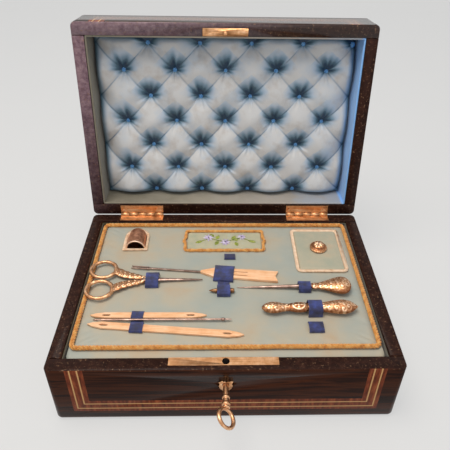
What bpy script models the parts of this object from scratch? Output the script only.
# Sewing box with a tufted lid and a lift-out tray of tools, modelled open.
# Units are metres. The origin is at the middle of the underside, the front faces -Y.

import math

import bmesh
import bpy
from mathutils import Vector

for stale in list(bpy.data.objects):
    bpy.data.objects.remove(stale, do_unlink=True)


# Driving sizes of the case and the lid

CASE_WIDTH = 0.280
CASE_DEPTH = 0.198
BASE_HEIGHT = 0.064
LID_HEIGHT = 0.0405
LONG_WALL = 0.012
END_WALL = 0.011
BOARD = 0.006
CORNER_RADIUS = 0.0045
RIM_ARRIS = 0.0006
LID_OPEN = math.radians(97)
SEAT = 0.0003
OVERRUN = 0.002

LINING = 0.0008
LINING_DROP = 0.0020
BEARER_THICKNESS = 0.0040
BEARER_SETBACK = 0.025

# Hinges and their screws

HINGE_LENGTH = 0.045
HINGE_X = CASE_WIDTH * 0.31607143
LEAF = 0.0010
LEAF_REACH = 0.0105
KNUCKLE_RADIUS = 0.0022
KNUCKLES = 5
HINGE_PIN_RADIUS = 0.0010
SCREW_HEAD_RADIUS = 0.0017
SCREW_SHANK_RADIUS = 0.0009
SCREW_LENGTH = 0.0060
SCREW_SLOT_WIDTH = 0.0005
SCREW_SLOT_DEPTH = 0.0004
HINGE_SCREW_SPACING = 0.035
HINGE_SCREW_INSET = 0.0067

# Lock, strike plate and key

LOCK_X = -0.0008
LOCK_INSET = 0.0082
PLATE = 0.0010
LOCK_PLATE_LENGTH = CASE_WIDTH * 0.30785714
LOCK_PLATE_WIDTH = 0.0074
LOCK_PLATE_SHIFT = -0.0017
STUD_HOLE_RADIUS = 0.0030
STUD_RADIUS = 0.00175
STUD_REACH = 0.0085
STUD_ROOT = 0.0060
STUD_SLOT_WIDTH = 0.0021
STUD_SLOT_HEIGHT = 0.0030
STUD_TIP = 0.0015
STUD_NOSE_SHARE = 0.8
STRIKE_LENGTH = 0.0415
STRIKE_WIDTH = 0.0072
STRIKE_SCREW_SPACING = 0.0233
LOCK_CASE_LENGTH = 0.042
LOCK_CASE_DEPTH = 0.0056
LOCK_CASE_HEIGHT = 0.0237
LOCK_SHEET = 0.0007
BOLT_BAR = 0.0040
BOLT_LENGTH = 0.022
BOLT_UPRIGHT = 0.0040
BOLT_STAND_OFF = 0.0012
FINGER_DEPTH = 0.0016
FINGER_HEIGHT = 0.0018
BOLT_NOTCH = 0.0050
BOLT_NOTCH_SHIFT = 0.0042
BOLT_NOTCH_DEPTH = 0.0014

KEY_DROP = 0.018
KEY_HEIGHT = BASE_HEIGHT - KEY_DROP
KEY_TURNED = math.radians(47)
KEY_SHAFT_RADIUS = 0.0023
KEY_TIP_INSET = 0.0093
KEY_SHAFT_LENGTH = 0.0212
KEY_COLLAR_RADIUS = 0.0033
KEY_COLLAR_SHARES = [(0.0, 0.70), (0.50, 0.70), (0.53, 0.92), (0.57, 0.92), (0.60, 0.74), (0.76, 0.76), (0.79, 1.0),
                     (0.84, 1.0), (0.88, 0.78), (0.93, 0.96), (1.0, 0.60)]
KEY_BOW_RADIUS = 0.0074
KEY_BOW_WIRE = 0.0015
KEY_BIT_REACH = 0.0053
KEY_BIT_THICKNESS = 0.0018
KEY_BIT_WIDTH = 0.0030
KEYHOLE_CLEARANCE = 0.0005
ESCUTCHEON_WIDTH = 0.0112
ESCUTCHEON_HEIGHT = 0.0126
ESCUTCHEON_DROP = 0.0024
ESCUTCHEON_SHARES = [(0.0, 0.86), (0.42, 0.98), (1.0, 0.90), (0.84, 0.48), (0.98, 0.10), (0.80, -0.42), (0.40, -0.78),
                     (0.0, -1.0)]

# Lid lining, cushion and buttons

CUSHION_EDGE = 0.0080
CUSHION_CROWN = 0.0165
CUSHION_FALL = 0.012
CUSHION_HEM = 0.0050
PILLOW_SHARE = 0.72
PILLOW_FULLNESS = 0.55
TUFT_PITCH_X = CASE_WIDTH * 0.17857143
TUFT_PITCH_S = 0.0261
TUFT_ROWS = 7
FIRST_ROW = 0.0183
TUFT_STEPS = 3
BUTTON_RADIUS = 0.0028
BUTTON_HEIGHT = 0.0022
BUTTON_SINK = 0.0006
CORNER_BUTTON_X = CASE_WIDTH * 0.4375

# Tray

TRAY_DEPTH = 0.026
TRAY_BOTTOM = BASE_HEIGHT - TRAY_DEPTH
TRAY_CLEARANCE = 0.0007
TRAY_BOARD = 0.0030
TRAY_WALL = 0.0035
TRAY_DECK = 0.0025
TRAY_CORNER = 0.0040
PAD_DROP = 0.0020
PAD_TOP = BASE_HEIGHT - PAD_DROP
PAD_THICKNESS = 0.0062
PAD_CROWN = 0.0008
PAD_ROLL = 0.0046
PAD_TUCK = 0.0006
PAD_ROLL_SHARES = (0.15, 0.55, 0.85)
PAD_FIELD_SHARES = (0.8, 0.5, 0.2)
SLAB_EDGE_SHARE = 1 / 3
SLAB_FIELD_SHARES = (0.7, 0.35)
CORD_RADIUS = 0.0019
CORD_INSET_SIDE = 0.0030
CORD_INSET_FRONT = 0.0090
CORD_INSET_BACK = 0.0032
CORD_SINK = 0.0016

PANEL_X = -0.0008
PANEL_Y = 0.0552
PANEL_LENGTH = CASE_WIDTH * 0.29107143
PANEL_WIDTH = 0.0334
PANEL_THICKNESS = 0.0012
PANEL_CROWN = 0.0012
BRAID_RADIUS = 0.0019

WELL_X = CASE_WIDTH * 0.32857143
WELL_Y = 0.0416
WELL_LENGTH = CASE_WIDTH * 0.17785714
WELL_WIDTH = 0.0643
WELL_FLANGE = 0.0018
WELL_WALL = 0.0012
WELL_CORNER = 0.0031
WELL_LEDGE = 0.0016
WELL_FLOOR = 0.0010
WELL_RIM_RISE = 0.0013
COVER_THICKNESS = 0.0030
COVER_CROWN = 0.0009
COVER_CLEARANCE = 0.0004
KNOB_RADIUS = 0.0083
KNOB_HEIGHT = 0.0062
KNOB_SHARES = [(0.0, 0.90), (0.16, 1.0), (0.34, 1.0), (0.44, 0.84), (0.52, 0.70), (0.66, 0.72), (0.84, 0.58),
               (0.96, 0.34), (1.0, 0.0)]

# Thimble and its well

THIMBLE_X = CASE_WIDTH * -0.3175
THIMBLE_MOUTH_Y = 0.0446
THIMBLE_RADIUS = 0.0095
THIMBLE_LENGTH = 0.0262
THIMBLE_WALL = 0.0007
THIMBLE_SHARES = [(1.0, 0.0), (0.985, 0.32), (0.93, 0.58), (0.84, 0.74), (0.66, 0.84), (0.10, 0.94), (0.08, 1.0),
                  (0.0, 1.0)]
NICHE_SIDE = 0.0004
NICHE_FRONT = 0.0016
NICHE_BACK = 0.0010
NICHE_WALL = 0.0011
NICHE_FLANGE = 0.0012
NICHE_RISE = 0.0010

# Scissors

SCISSORS_X = CASE_WIDTH * -0.23392857
SCISSORS_Y = -0.0019
SCISSORS_YAW = math.radians(1.0)
BLADE_REACH = CASE_WIDTH * 0.15821429
BLADE_HALF_WIDTH = 0.0028
BLADE_THICKNESS = 0.0011
RING_OFFSET_X = CASE_WIDTH * 0.16892857
RING_OFFSET_Y = 0.0129
RING_RADIUS_X = 0.0115
RING_RADIUS_Y = 0.0106
RING_WIRE = 0.0018
SHOULDER_HALF = 0.0014
SHOULDER_START = 0.0075
SHOULDER_SHARES = [(0.776, 1.32), (0.62, 0.96), (0.42, 0.63), (0.26, 0.40), (0.159, 0.22), (0.159, 0.028),
                   (0.34, 0.028), (0.51, 0.11), (0.66, 0.27), (0.786, 0.60)]
BLADE_NEAR_SHARES = [(-1.4, 0.16), (-1.4, 1.5), (-1.0, 1.0), (0.0, 1.15), (1.0, 0.9)]
BLADE_FAR_SHARES = [(1.0, -0.9), (0.0, -1.15), (-0.87, -0.8), (-0.94, 0.16)]
PIVOT_RADIUS = 0.0010
PIVOT_HEAD_RADIUS = 0.0019
PIVOT_HEAD = 0.0005
PIVOT_HEAD_TAPER_SHARE = 0.7

# Other tools

FORK_X = CASE_WIDTH * -0.08357143
FORK_Y = 0.0092
FORK_YAW = math.radians(-5.8)
BONE_THICKNESS = 0.0024
BONE_LENGTH = CASE_WIDTH * 0.25785714
BONE_HALF_WIDTH = 0.0066
BONE_SHARES = [(0.0, 0.16), (0.17, 0.84), (0.60, 0.96), (1.0, 1.0)]
BONE_NOTCH = 0.0025
SLIT_START = CASE_WIDTH * 0.11071429
SLIT_LENGTH = CASE_WIDTH * 0.04642857
SLIT_WIDTH = 0.0008
SLIT_OFFSET = 0.0022
FORK_ROD_LENGTH = CASE_WIDTH * 0.23392857
FORK_ROD_THICKNESS = 0.0016
FORK_ROD_HALF = 0.0008
FORK_PRONG_LENGTH = CASE_WIDTH * 0.06428571
FORK_SPREAD = 0.0016
FORK_SLOT_HALF = 0.0008
PRONG_TIP_SHARE = 0.95

STILETTO_X = CASE_WIDTH * 0.04
STILETTO_Y = -0.0106
STILETTO_YAW = math.radians(-1.1)
POINT_LENGTH = CASE_WIDTH * 0.23571429
POINT_RADIUS = 0.0020
POINT_TIP_RADIUS = 0.0003
POINT_SHARES = [(0.0, 0.0), (0.01, 0.15), (0.35, 0.55), (0.70, 0.85), (0.92, 1.0), (1.0, 0.86)]
HANDLE_LENGTH = CASE_WIDTH * 0.12714286
HANDLE_RADIUS = 0.0100
HANDLE_FLATNESS = 0.5
HANDLE_REST_SHARE = 0.8
HANDLE_SHARES = [(0.0, 0.27), (0.06, 0.36), (0.15, 0.33), (0.24, 0.42), (0.38, 0.58), (0.54, 0.80), (0.70, 0.98),
                 (0.80, 1.0), (0.90, 0.84), (0.97, 0.48), (1.0, 0.12)]

CASE_X = CASE_WIDTH * 0.10892857
CASE_Y = -0.0392
CASE_YAW = math.radians(0.5)
NEEDLE_CASE_RADIUS = 0.0070
NEEDLE_CASE_FLATNESS = 0.72
NEEDLE_CASE_WAIST_SHARE = 0.70
CAP_LENGTH = CASE_WIDTH * 0.085
CAP_SHARES = [(0.0, 0.10), (0.05, 0.34), (0.16, 0.60), (0.36, 0.78), (0.55, 0.74), (0.80, 0.56), (0.94, 0.52),
              (1.0, 0.56)]
BODY_LENGTH = CASE_WIDTH * 0.20964286
BODY_SHARES = [(0.0, 0.56), (0.03, 0.60), (0.12, 0.70), (0.21, 0.68), (0.27, 0.55), (0.36, 0.56), (0.48, 0.62),
               (0.64, 0.88), (0.78, 1.0), (0.89, 0.80), (0.96, 0.40), (1.0, 0.10)]
SPIGOT_RADIUS = 0.0028
SPIGOT_LENGTH = 0.0080
NEEDLE_BORE_RADIUS = 0.0018
NEEDLE_BORE_DEPTH = 0.0400

NETTING_THICKNESS = 0.0020
BACK_NEEDLE = (CASE_WIDTH * -0.41178571, -0.0435, CASE_WIDTH * -0.05821429, -0.0440, 0.0030)
FRONT_NEEDLE = (CASE_WIDTH * -0.41428571, -0.0528, CASE_WIDTH * 0.05178571, -0.0651, 0.0034)
NEEDLE_POINT = 0.0130
NEEDLE_POINT_SHARE = 0.55
NEEDLE_EYE_INSET = 0.0139
NEEDLE_EYE_LENGTH = 0.0085
NEEDLE_EYE_HALF = 0.0010

HOOK_X = CASE_WIDTH * -0.39821429
HOOK_Y = -0.0493
HOOK_LENGTH = CASE_WIDTH * 0.41357143
HOOK_RADIUS_FAT = 0.0014
HOOK_SHARES = [(0.0, 0.30), (0.02, 0.60), (0.04, 0.38), (0.10, 0.62), (0.92, 0.64), (0.93, 1.0), (0.95, 1.0),
               (0.96, 0.60), (1.0, 0.42)]

BODKIN_X = CASE_WIDTH * -0.05321429
BODKIN_Y = -0.0159
BODKIN_LENGTH = CASE_WIDTH * 0.07964286
BODKIN_RADIUS = 0.0021
BODKIN_SHARES = [(0.0, 0.18), (0.16, 0.72), (0.30, 0.90), (0.84, 0.95), (0.88, 1.0), (0.96, 1.0), (1.0, 0.70)]

# Ribbon loops, each with the x of its middle, its width and its ease beside the tool

RIBBON = 0.0005
RIBBON_SLACK = 0.0005
LOOP_SQUARENESS_SHARE = 0.55
SCISSORS_LOOP = (CASE_WIDTH * -0.23964286, 0.0118, 0.0052)
FORK_LOOP = (CASE_WIDTH * -0.00535714, 0.0187, 0.0030)
BODKIN_LOOP = (CASE_WIDTH * -0.00714286, 0.0120, 0.0034)
LOOP_BRIDGE_OVERLAP = 0.0008
STILETTO_LOOP = (CASE_WIDTH * 0.25357143, 0.0111, 0.0028)
NEEDLE_CASE_LOOP = (CASE_WIDTH * 0.27214286, 0.0123, 0.0016)
BACK_NETTING_LOOP = (CASE_WIDTH * -0.26857143, 0.0105, 0.0008)
FRONT_NETTING_LOOP = (CASE_WIDTH * -0.26535714, 0.0112, 0.0012)

# Empty loops: x, y, width, half span and rise

BACK_TAB = (CASE_WIDTH * 0.015, 0.0310, 0.0107, 0.0032, 0.0015)
FRONT_TAB = (CASE_WIDTH * 0.26785714, -0.0570, 0.0127, 0.0050, 0.0024)

# Finishes: colour, roughness, metallic

FINISHES = {
    "veneer": ((0.060, 0.026, 0.016), 0.22, 0.0),
    "raw_wood": ((0.110, 0.060, 0.040), 0.55, 0.0),
    "brass": ((0.640, 0.330, 0.120), 0.32, 1.0),
    "gilt": ((0.680, 0.340, 0.150), 0.38, 1.0),
    "steel": ((0.450, 0.400, 0.380), 0.30, 1.0),
    "blue_silk": ((0.300, 0.400, 0.480), 0.45, 0.0),
    "button_silk": ((0.050, 0.200, 0.480), 0.50, 0.0),
    "sage_silk": ((0.440, 0.470, 0.380), 0.60, 0.0),
    "gold_thread": ((0.700, 0.330, 0.040), 0.50, 0.2),
    "ribbon": ((0.020, 0.030, 0.150), 0.60, 0.0),
    "bone": ((0.850, 0.550, 0.330), 0.45, 0.0),
    "ivory_paper": ((0.850, 0.660, 0.500), 0.60, 0.0),
    "card": ((0.350, 0.330, 0.260), 0.80, 0.0),
}

# Sizes worked out from the driving ones

HALF_W = CASE_WIDTH / 2
HALF_D = CASE_DEPTH / 2
INNER_X = HALF_W - END_WALL
INNER_Y = HALF_D - LONG_WALL
AXIS_Z = BASE_HEIGHT + SEAT / 2
LID_RIM = BASE_HEIGHT + SEAT
LID_TOP = LID_RIM + LID_HEIGHT
LID_INSIDE = LID_TOP - BOARD - SEAT
LOCK_Y = -HALF_D + LOCK_INSET
LOCK_PLATE_LOW = BASE_HEIGHT - PLATE
LOCK_CASE_TOP = LOCK_PLATE_LOW - SEAT
LOCK_CASE_LOW = LOCK_CASE_TOP - LOCK_CASE_HEIGHT
LINED_X = INNER_X - SEAT - LINING
LINED_Y = INNER_Y - SEAT - LINING
FLOOR_TOP = BOARD + SEAT + LINING
TRAY_X = LINED_X - TRAY_CLEARANCE
TRAY_Y = LINED_Y - TRAY_CLEARANCE
PAD_LOW = PAD_TOP - PAD_THICKNESS
DECK_LOW = PAD_LOW - SEAT - TRAY_DECK
CORD_X = TRAY_X - CORD_INSET_SIDE
CORD_FRONT = -TRAY_Y + CORD_INSET_FRONT
CORD_BACK = TRAY_Y - CORD_INSET_BACK
CORD_MIDDLE = (CORD_FRONT + CORD_BACK) / 2
CORD_HALF_Y = (CORD_BACK - CORD_FRONT) / 2
WELL_HALF_X = WELL_LENGTH / 2 - WELL_FLANGE
WELL_HALF_Y = WELL_WIDTH / 2 - WELL_FLANGE
NICHE_Z = PAD_TOP + SEAT


# Directions in which a shape is laid out: along, across, up

def along_x(along, across, up):
    return Vector((along, across, up))


def along_z(along, across, up):
    return Vector((across, up, along))


def outward(along, across, up):
    """Along the key, out of the front of the case."""
    return Vector((across, -along, up))


def towards_back(along, across, up):
    return Vector((across, along, up))


# Tools for building one piece

def carrier(name, place=(0, 0, 0), turn=(0, 0, 0), parent=None):
    """Empty at a place in the case's own frame, on the joint's axis of the body that it carries."""
    empty = bpy.data.objects.new(name, None)
    bpy.context.collection.objects.link(empty)
    empty.parent = parent
    empty.location = Vector(place) - (parent.location if parent else Vector())
    empty.rotation_euler = turn
    return empty


def finish_material(name, finish):
    colour, roughness, metallic = FINISHES[finish]
    material = bpy.data.materials.new(name)
    material.use_nodes = True
    shader = material.node_tree.nodes["Principled BSDF"]
    shader.inputs["Base Color"].default_value = (*colour, 1)
    shader.inputs["Roughness"].default_value = roughness
    shader.inputs["Metallic"].default_value = metallic
    return material


def publish(name, bm, finish, body, local=False):
    """Turn a bmesh into a named object that rides on a body's empty."""
    if not local:
        origin = body.location + (body.parent.location if body.parent else Vector())
        bmesh.ops.translate(bm, verts=bm.verts, vec=-origin)
    bmesh.ops.recalc_face_normals(bm, faces=bm.faces)
    mesh = bpy.data.meshes.new(name)
    bm.to_mesh(mesh)
    bm.free()
    mesh.shade_smooth()
    mesh.set_sharp_from_angle(angle=math.radians(35))
    mesh.materials.append(finish_material(name, finish))
    piece = bpy.data.objects.new(name, mesh)
    bpy.context.collection.objects.link(piece)
    piece.parent = body
    return piece


def shape_with(piece, bm, operation, body, local=False):
    """Cut a hidden shape from a piece, or fuse the shape to it."""
    tool_name = f"{piece.name}_{operation.lower()}_{len(piece.modifiers)}"
    tool = publish(tool_name, bm, "raw_wood", body, local)
    tool.hide_render = True
    tool.display_type = "WIRE"
    boolean = piece.modifiers.new(operation.title(), "BOOLEAN")
    boolean.operation = operation
    boolean.solver = "EXACT"
    boolean.object = tool


def box(bm, low, high):
    corners = [Vector((x, y, z)) for z in (low[2], high[2]) for y in (low[1], high[1]) for x in (low[0], high[0])]
    verts = [bm.verts.new(corner) for corner in corners]
    for face in ((0, 2, 3, 1), (4, 5, 7, 6), (0, 1, 5, 4), (2, 6, 7, 3), (0, 4, 6, 2), (1, 3, 7, 5)):
        bm.faces.new([verts[index] for index in face])


def block(bm, centre, size):
    box(bm, [c - s / 2 for c, s in zip(centre, size)], [c + s / 2 for c, s in zip(centre, size)])


def prism(bm, outline, low, high, frame=along_z):
    """Extrude a flat outline of (across, up) points from low to high."""
    lower = [bm.verts.new(frame(low, *point)) for point in outline]
    upper = [bm.verts.new(frame(high, *point)) for point in outline]
    bm.faces.new(lower[::-1])
    bm.faces.new(upper)
    count = len(outline)
    for index in range(count):
        after = (index + 1) % count
        bm.faces.new((lower[index], lower[after], upper[after], upper[index]))


def turned(bm, profile, sides, frame=along_x, flatness=1, shift=(0, 0, 0)):
    """Turn (along, radius) points round the long axis. A radius of zero closes to a point."""
    rings = []
    for along, radius in profile:
        if radius == 0:
            rings.append([bm.verts.new(frame(along, 0, 0) + Vector(shift))])
            continue
        ring = []
        for side in range(sides):
            angle = math.tau * side / sides
            point = frame(along, radius * math.cos(angle), flatness * radius * math.sin(angle))
            ring.append(bm.verts.new(point + Vector(shift)))
        rings.append(ring)
    for one, two in zip(rings, rings[1:]):
        for side in range(sides):
            after = (side + 1) % sides
            corners = [one[side % len(one)], one[after % len(one)], two[after % len(two)], two[side % len(two)]]
            bm.faces.new(list(dict.fromkeys(corners)))
    for ring in (rings[0], rings[-1]):
        if len(ring) > 1:
            bm.faces.new(ring)


def loop_tube(bm, path, radius, sides):
    """Closed tube along a closed, nearly level path."""
    count = len(path)
    rings = []
    for index, point in enumerate(path):
        tangent = (path[(index + 1) % count] - path[index - 1]).normalized()
        side = tangent.cross(Vector((0, 0, 1))).normalized()
        up = side.cross(tangent)
        angles = [math.tau * step / sides for step in range(sides)]
        rings.append([bm.verts.new(point + radius * (math.cos(a) * side + math.sin(a) * up)) for a in angles])
    for index in range(count):
        one, two = rings[index], rings[(index + 1) % count]
        for step in range(sides):
            after = (step + 1) % sides
            bm.faces.new((one[step], one[after], two[after], two[step]))


def rectangle(half_x, half_y):
    return [(half_x, half_y), (-half_x, half_y), (-half_x, -half_y), (half_x, -half_y)]


def band(bm, outer, inner, low, high):
    """Upright closed band between two outlines with equal numbers of points."""
    outer_low, outer_high, inner_low, inner_high = [
        [bm.verts.new((x, y, z)) for x, y in outline] for outline in (outer, inner) for z in (low, high)]
    for one, two in ((outer_low, outer_high), (outer_high, inner_high), (inner_high, inner_low),
                     (inner_low, outer_low)):
        for index in range(len(outer)):
            after = (index + 1) % len(outer)
            bm.faces.new((one[index], one[after], two[after], two[index]))


def rounded_rectangle(half_x, half_y, radius, steps, centre=(0, 0)):
    """Outline of a rectangle whose corners are arcs of steps + 1 points."""
    points = []
    for quarter, (sx, sy) in enumerate(((1, 1), (-1, 1), (-1, -1), (1, -1))):
        for step in range(steps + 1):
            angle = math.pi / 2 * (quarter + step / steps)
            x = centre[0] + sx * (half_x - radius) + radius * math.cos(angle)
            y = centre[1] + sy * (half_y - radius) + radius * math.sin(angle)
            points.append((x, y))
    return points


def divided(points, spacing):
    """The closed outline with its long sides divided into steps no longer than spacing."""
    result = []
    for index, start in enumerate(points):
        end = points[(index + 1) % len(points)]
        pieces = max(1, math.ceil(math.dist(start, end) / spacing))
        for piece in range(pieces):
            share = piece / pieces
            result.append((start[0] + share * (end[0] - start[0]), start[1] + share * (end[1] - start[1])))
    return result


def stacked_rings(bm, rings):
    """Closed solid over rings of equal length, the first and the last filled."""
    layers = [[bm.verts.new(point) for point in ring] for ring in rings]
    count = len(layers[0])
    for one, two in zip(layers, layers[1:]):
        for index in range(count):
            after = (index + 1) % count
            bm.faces.new((one[index], one[after], two[after], two[index]))
    bm.faces.new(layers[0][::-1])
    bm.faces.new(layers[-1])


def edges_on(bm, *planes):
    """Edges whose two ends lie on every given (axis, value) plane."""
    near = SEAT / 10
    return [edge for edge in bm.edges
            if all(abs(vert.co[axis] - value) < near for vert in edge.verts for axis, value in planes)]


def scaled(shares, length, radius):
    return [(length * along, radius * across) for along, across in shares]


# Bodies

case = carrier("case_origin")
lid = carrier("lid_axis", (0, HALF_D, AXIS_Z), (-LID_OPEN, 0, 0))
tray = carrier("tray_origin", (0, 0, TRAY_BOTTOM))


# Walls and boards

def wall(name, low, high, rounded, rim, body):
    """Wall with its outer edges rounded, then a fine arris round the rim face."""
    bm = bmesh.new()
    box(bm, low, high)
    edges = [edge for planes in rounded for edge in edges_on(bm, *planes)]
    bmesh.ops.bevel(bm, geom=edges, offset=CORNER_RADIUS, segments=4, profile=0.5, affect="EDGES")
    rim_edges = edges_on(bm, (2, rim))
    bmesh.ops.bevel(bm, geom=rim_edges, offset=RIM_ARRIS, segments=1, affect="EDGES")
    return publish(name, bm, "veneer", body)


def case_walls():
    walls = {}
    for name, side in (("front_wall", -1), ("back_wall", 1)):
        outer, inner = side * HALF_D, side * INNER_Y
        low = (-HALF_W, min(outer, inner), 0)
        high = (HALF_W, max(outer, inner), BASE_HEIGHT)
        rounded = [((0, -HALF_W), (1, outer)), ((0, HALF_W), (1, outer)), ((1, outer), (2, 0)),
                   ((0, -HALF_W), (2, 0)), ((0, HALF_W), (2, 0))]
        walls[name] = wall(name, low, high, rounded, BASE_HEIGHT, case)
    for name, side in (("left_wall", -1), ("right_wall", 1)):
        outer, inner = side * HALF_W, side * INNER_X
        low = (min(outer, inner), -INNER_Y + SEAT, 0)
        high = (max(outer, inner), INNER_Y - SEAT, BASE_HEIGHT)
        walls[name] = wall(name, low, high, [((0, outer), (2, 0))], BASE_HEIGHT, case)
    bm = bmesh.new()
    box(bm, (-INNER_X + SEAT, -INNER_Y + SEAT, 0), (INNER_X - SEAT, INNER_Y - SEAT, BOARD))
    publish("bottom_board", bm, "raw_wood", case)
    return walls


def lid_walls():
    walls = {}
    for name, side in (("lid_front_wall", -1), ("lid_back_wall", 1)):
        outer, inner = side * HALF_D, side * INNER_Y
        low = (-HALF_W, min(outer, inner), LID_RIM)
        high = (HALF_W, max(outer, inner), LID_INSIDE)
        rounded = [((0, -HALF_W), (1, outer)), ((0, HALF_W), (1, outer))]
        walls[name] = wall(name, low, high, rounded, LID_RIM, lid)
    for name, side in (("lid_left_wall", -1), ("lid_right_wall", 1)):
        outer, inner = side * HALF_W, side * INNER_X
        low = (min(outer, inner), -INNER_Y + SEAT, LID_RIM)
        high = (max(outer, inner), INNER_Y - SEAT, LID_INSIDE)
        walls[name] = wall(name, low, high, [], LID_RIM, lid)
    bm = bmesh.new()
    box(bm, (-HALF_W, -HALF_D, LID_TOP - BOARD), (HALF_W, HALF_D, LID_TOP))
    upright = [edge for x in (-HALF_W, HALF_W) for y in (-HALF_D, HALF_D) for edge in edges_on(bm, (0, x), (1, y))]
    around = edges_on(bm, (2, LID_TOP))
    bmesh.ops.bevel(bm, geom=upright + around, offset=CORNER_RADIUS, segments=4, profile=0.5, affect="EDGES")
    publish("lid_top_board", bm, "veneer", lid)
    return walls


def linings():
    """Card on the floor, and a silk band round the inside of the base and of the lid."""
    bm = bmesh.new()
    box(bm, (-LINED_X, -LINED_Y, BOARD + SEAT), (LINED_X, LINED_Y, FLOOR_TOP))
    publish("floor_lining", bm, "card", case)
    base_span = (FLOOR_TOP + SEAT, BASE_HEIGHT - LINING_DROP)
    lid_span = (LID_RIM + LINING_DROP, LID_INSIDE - SEAT)
    outer = rectangle(INNER_X - SEAT, INNER_Y - SEAT)
    inner = rectangle(LINED_X, LINED_Y)
    for name, finish, body, span in (("base_lining", "sage_silk", case, base_span),
                                     ("lid_lining", "blue_silk", lid, lid_span)):
        bm = bmesh.new()
        band(bm, outer, inner, *span)
        publish(name, bm, finish, body)


def bearers():
    """Strips inside the end walls, on which the tray stands."""
    low, high = FLOOR_TOP + SEAT, TRAY_BOTTOM - SEAT
    for name, side in (("tray_bearer_left", -1), ("tray_bearer_right", 1)):
        bm = bmesh.new()
        block(bm, (side * (LINED_X - SEAT - BEARER_THICKNESS / 2), 0, (low + high) / 2),
              (BEARER_THICKNESS, 2 * (INNER_Y - BEARER_SETBACK), high - low))
        publish(name, bm, "raw_wood", case)


# Hinges

def hinge_spans():
    """The knuckles of one hinge from left to right, as distances from its middle."""
    pitch = HINGE_LENGTH / KNUCKLES
    return [(-HINGE_LENGTH / 2 + pitch * index, -HINGE_LENGTH / 2 + pitch * (index + 1)) for index in range(KNUCKLES)]


def add_screws(piece, places, surface, inward, head, body):
    """Flush slotted screws in one with the plate that they hold."""
    shanks = bmesh.new()
    slots = bmesh.new()
    span = sorted((surface + inward * head / 2, surface + inward * SCREW_LENGTH))
    for x, y in places:
        turned(shanks, [(end, SCREW_SHANK_RADIUS) for end in span], 10, along_z, shift=(x, y, 0))
        block(slots, (x, y, surface), (2 * SCREW_HEAD_RADIUS, SCREW_SLOT_WIDTH, 2 * SCREW_SLOT_DEPTH))
    shape_with(piece, shanks, "UNION", body)
    shape_with(piece, slots, "DIFFERENCE", body)


def hinge_screws(x):
    return [(x + side * HINGE_SCREW_SPACING / 2, HALF_D - HINGE_SCREW_INSET) for side in (-1, 1)]


def hinge_leaf(name, x, surface, inward, owned, body):
    """Leaf with its screws and every other knuckle, bored for the pin."""
    low, high = sorted((surface, surface + inward * LEAF))
    bm = bmesh.new()
    box(bm, (x - HINGE_LENGTH / 2, HALF_D - LEAF_REACH, low), (x + HINGE_LENGTH / 2, HALF_D, high))
    leaf = publish(name, bm, "brass", body)
    barrel = bmesh.new()
    ends = (x - HINGE_LENGTH / 2, x + HINGE_LENGTH / 2)
    turned(barrel, [(end, KNUCKLE_RADIUS) for end in ends], 16, shift=(0, HALF_D, AXIS_Z))
    shape_with(leaf, barrel, "UNION", body)
    reach = KNUCKLE_RADIUS + SEAT
    notches = bmesh.new()
    for index, (start, end) in enumerate(hinge_spans()):
        if index % 2 != owned:
            left = start - (OVERRUN if index == 0 else SEAT / 2)
            right = end + (OVERRUN if index == KNUCKLES - 1 else SEAT / 2)
            box(notches, (x + left, HALF_D - reach, AXIS_Z - reach), (x + right, HALF_D + reach, AXIS_Z + reach))
    shape_with(leaf, notches, "DIFFERENCE", body)
    bore = bmesh.new()
    turned(bore, [(ends[0] - OVERRUN, HINGE_PIN_RADIUS + SEAT), (ends[1] + OVERRUN, HINGE_PIN_RADIUS + SEAT)], 12,
           shift=(0, HALF_D, AXIS_Z))
    shape_with(leaf, bore, "DIFFERENCE", body)
    add_screws(leaf, hinge_screws(x), surface, inward, LEAF, body)


def hinge_recess(bm, x, low, high):
    """Room in a wall's rim for one leaf, the barrel and the screws' shanks."""
    box(bm, (x - HINGE_LENGTH / 2 - SEAT, HALF_D - LEAF_REACH - SEAT, low),
        (x + HINGE_LENGTH / 2 + SEAT, HALF_D + OVERRUN, high))


def hinge_groove(bm, x):
    ends = (x - HINGE_LENGTH / 2 - SEAT, x + HINGE_LENGTH / 2 + SEAT)
    groove = KNUCKLE_RADIUS + SEAT
    turned(bm, [(ends[0], groove), (ends[1], groove)], 16, shift=(0, HALF_D, AXIS_Z))


def screw_hole(bm, x, y, surface, inward):
    """Pilot hole from the back of a plate into the wood."""
    span = sorted((surface, surface + inward * (SCREW_LENGTH + SEAT)))
    turned(bm, [(end, SCREW_SHANK_RADIUS + SEAT) for end in span], 10, along_z, shift=(x, y, 0))


def hinges(base_wall, lid_wall):
    for name, x in (("left", -HINGE_X), ("right", HINGE_X)):
        for prefix, body, rim, surface, inward, owned in (
                ("hinge_base_leaf_", case, base_wall, BASE_HEIGHT, -1, 0),
                ("hinge_lid_leaf_", lid, lid_wall, LID_RIM, 1, 1)):
            hinge_leaf(prefix + name, x, surface, inward, owned, body)
            recess = bmesh.new()
            hinge_recess(recess, x, *sorted((surface + inward * (LEAF + SEAT), surface - inward * OVERRUN)))
            shape_with(rim, recess, "DIFFERENCE", body)
            groove = bmesh.new()
            hinge_groove(groove, x)
            shape_with(rim, groove, "DIFFERENCE", body)
            holes = bmesh.new()
            for screw_x, screw_y in hinge_screws(x):
                screw_hole(holes, screw_x, screw_y, surface, inward)
            shape_with(rim, holes, "DIFFERENCE", body)
        pin = bmesh.new()
        length = HINGE_LENGTH / 2 - SEAT
        turned(pin, [(x - length, HINGE_PIN_RADIUS), (x + length, HINGE_PIN_RADIUS)], 12, shift=(0, HALF_D, AXIS_Z))
        publish("hinge_pin_" + name, pin, "steel", case)


# Lock

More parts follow.
